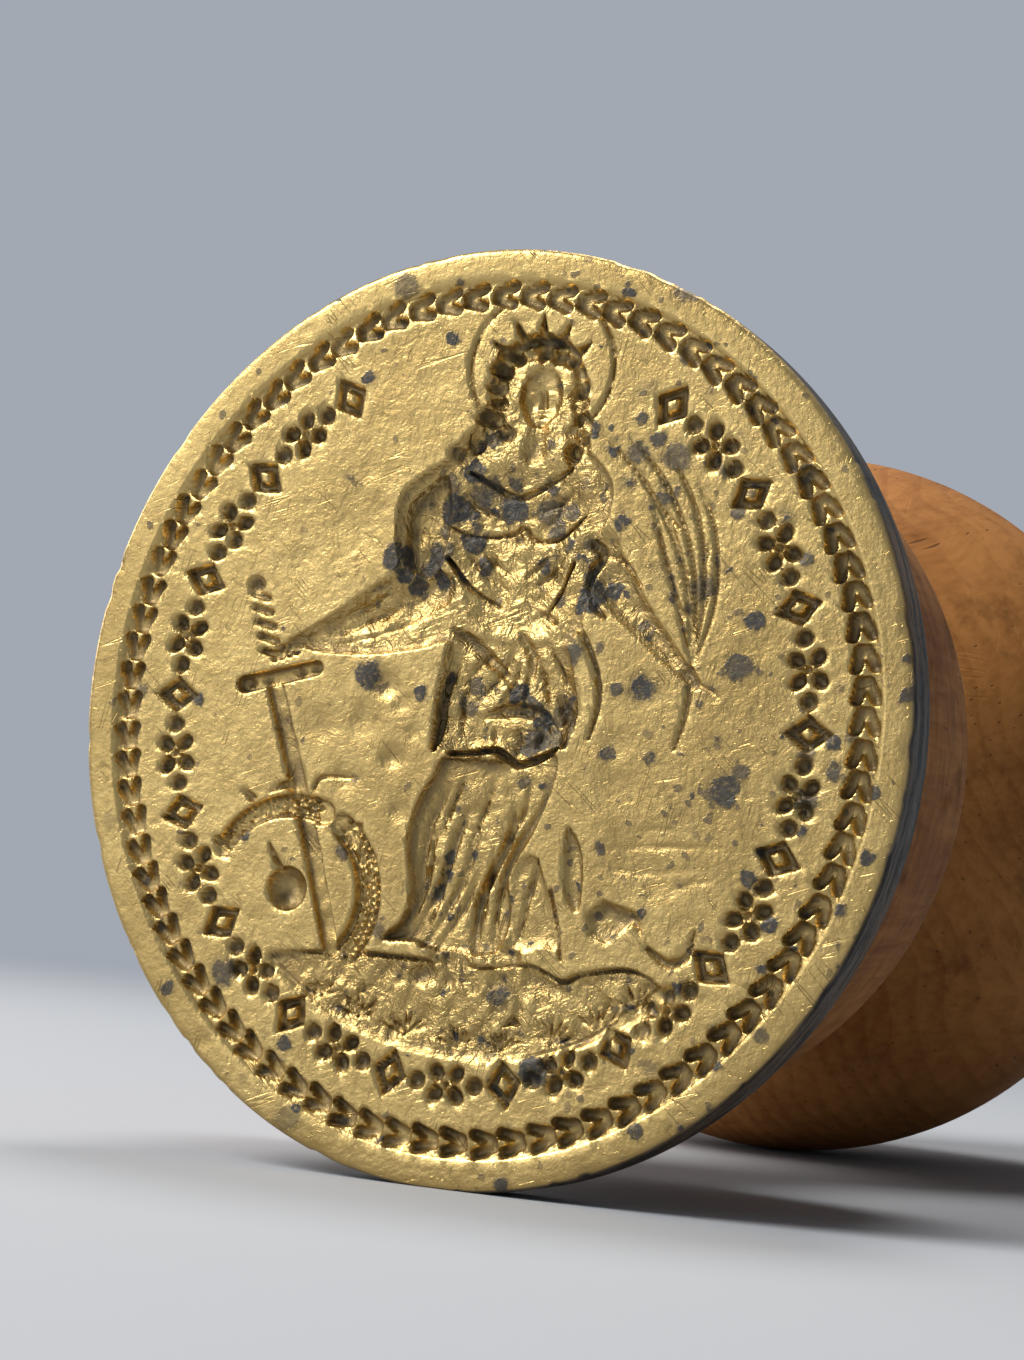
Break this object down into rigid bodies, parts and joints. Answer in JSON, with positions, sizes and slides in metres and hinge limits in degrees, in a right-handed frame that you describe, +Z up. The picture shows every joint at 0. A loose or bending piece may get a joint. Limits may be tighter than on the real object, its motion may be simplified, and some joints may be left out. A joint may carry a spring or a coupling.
{
  "type": "desk seal",
  "caption": "Hand seal: an engraved oval brass die that unscrews from a turned wooden handle with a drum base, a slim neck and a ball knob.",
  "frame": {"origin": "middle of the engraved face of the die, in the plane of its rim", "axes": "+Y from the face into the handle, +Z up along the die's long axis, +X to the right as the face is seen; the seal lies on its side on a plane 19.9 mm below the origin"},
  "size_m": [0.0398, 0.0709, 0.0399],
  "materials": {
    "die_brass": "aged, spotted",
    "bush_brass": "turned",
    "steel": "dull",
    "leather": "matt",
    "wood": "polished"
  },
  "bodies": {
    "handle": {"handle": "wood", "bush": "bush_brass", "bush_screw_1": "steel", "bush_screw_2": "steel"},
    "washer": {"seat_washer": "leather"},
    "die": {"die": "die_brass", "tang": "steel", "tang_pin": "steel"}
  },
  "joints": [
    {"name": "die_advance", "type": "slide", "parent": "handle", "child": "washer", "axis": [0, -1, 0], "range_m": [0, 0.01301]},
    {"name": "die_turn", "type": "hinge", "parent": "washer", "child": "die", "pos_m": [0, 0, 0], "axis": [0, -1, 0], "range_deg": [0, 2340]}
  ],
  "couplings": [
    {"joint": "die_advance", "follows": "die_turn", "m_per_rad": 0.00031831}
  ]
}
